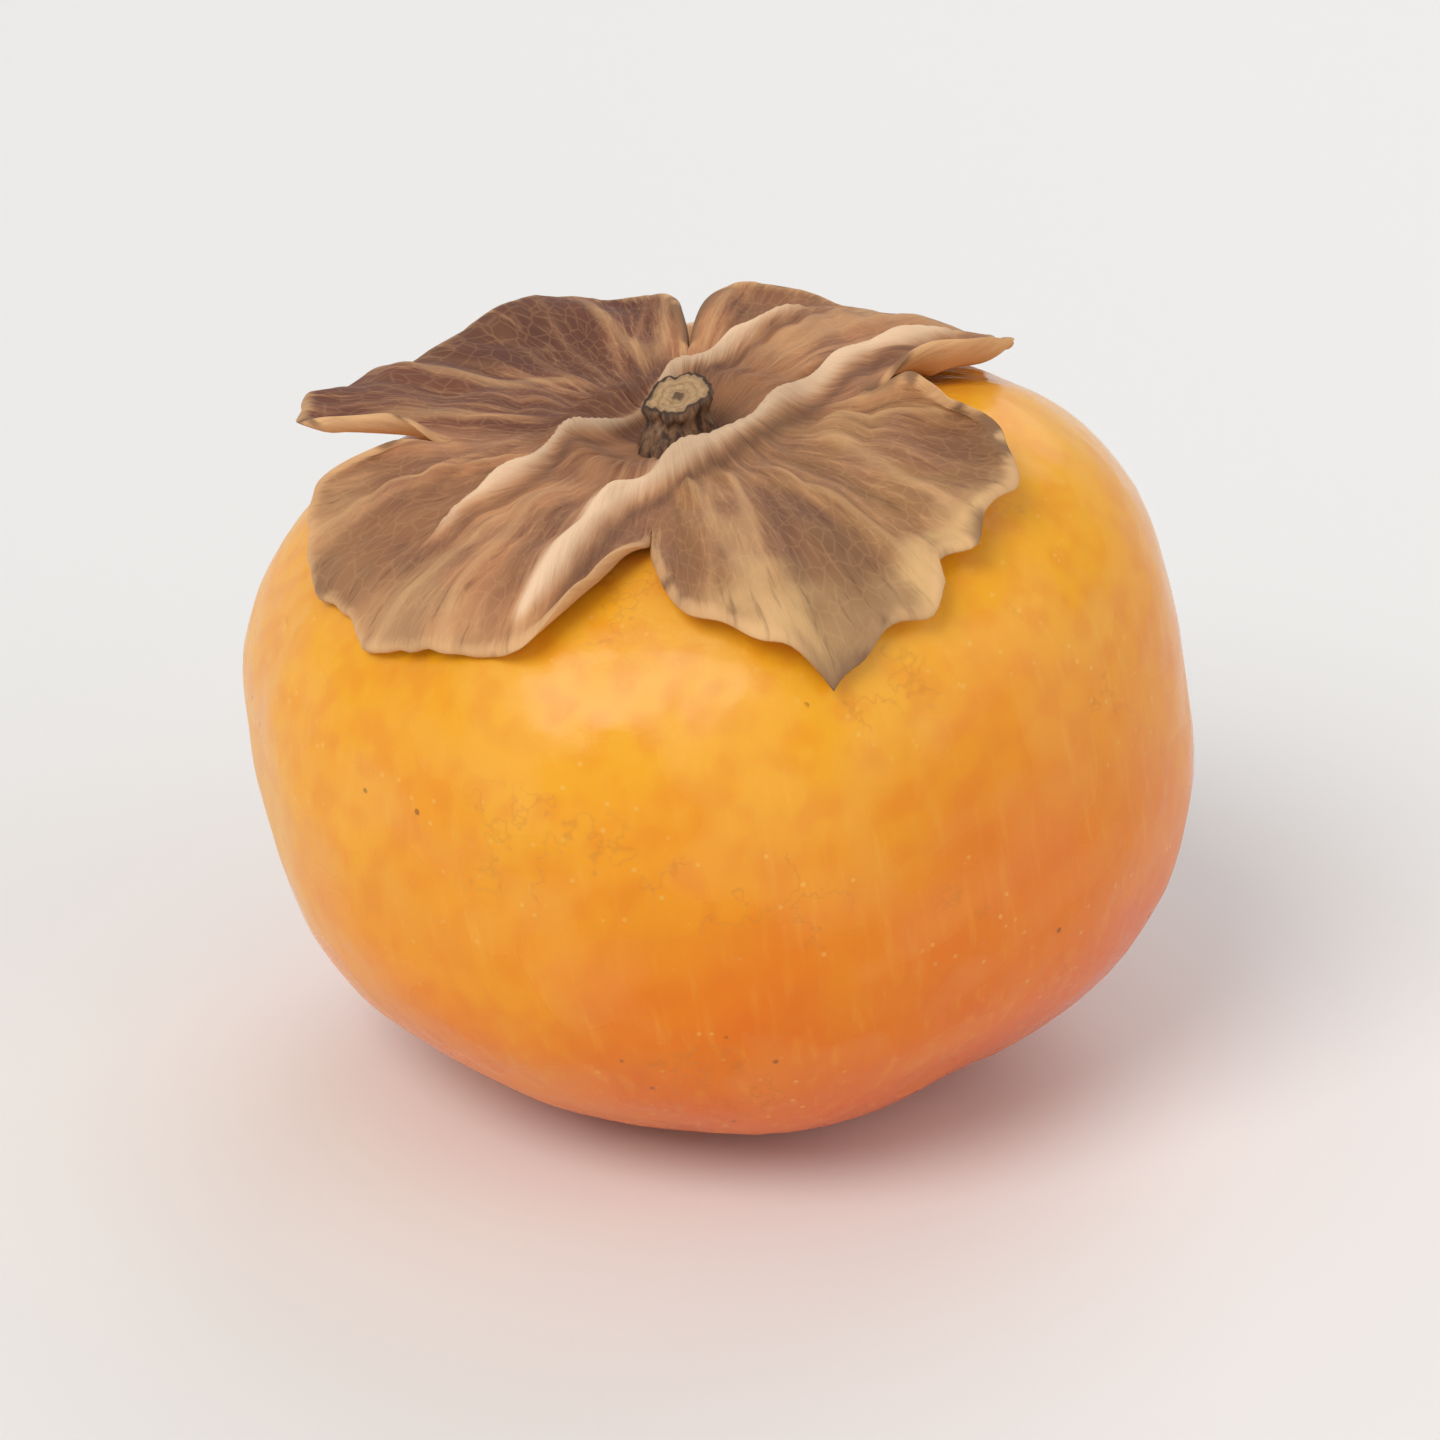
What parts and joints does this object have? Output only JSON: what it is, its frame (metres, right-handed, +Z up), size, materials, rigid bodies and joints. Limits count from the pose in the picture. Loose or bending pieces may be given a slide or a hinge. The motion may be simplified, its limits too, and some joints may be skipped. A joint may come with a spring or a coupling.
{
  "type": "persimmon",
  "caption": "Squat four-sided orange persimmon with a dry lobed calyx and a clipped stem stub, standing on its blossom end.",
  "frame": {"origin": "on the surface that the fruit stands on, under the middle of the fruit's outline", "axes": "+Z up, from the blossom end to the calyx; -Y is the side that is seen in the main view; the fruit's own axis leans 10 degrees from +Z towards -X and a little towards -Y"},
  "size_m": [0.0706, 0.0692, 0.0559],
  "materials": {
    "fruit_skin": "satin",
    "dry_calyx": "matte",
    "stem_wood": "matte",
    "style_black": "matte"
  },
  "bodies": {
    "root": {"fruit": "fruit_skin", "calyx": "dry_calyx", "stem": "stem_wood", "style_remnant": "style_black"}
  },
  "joints": []
}
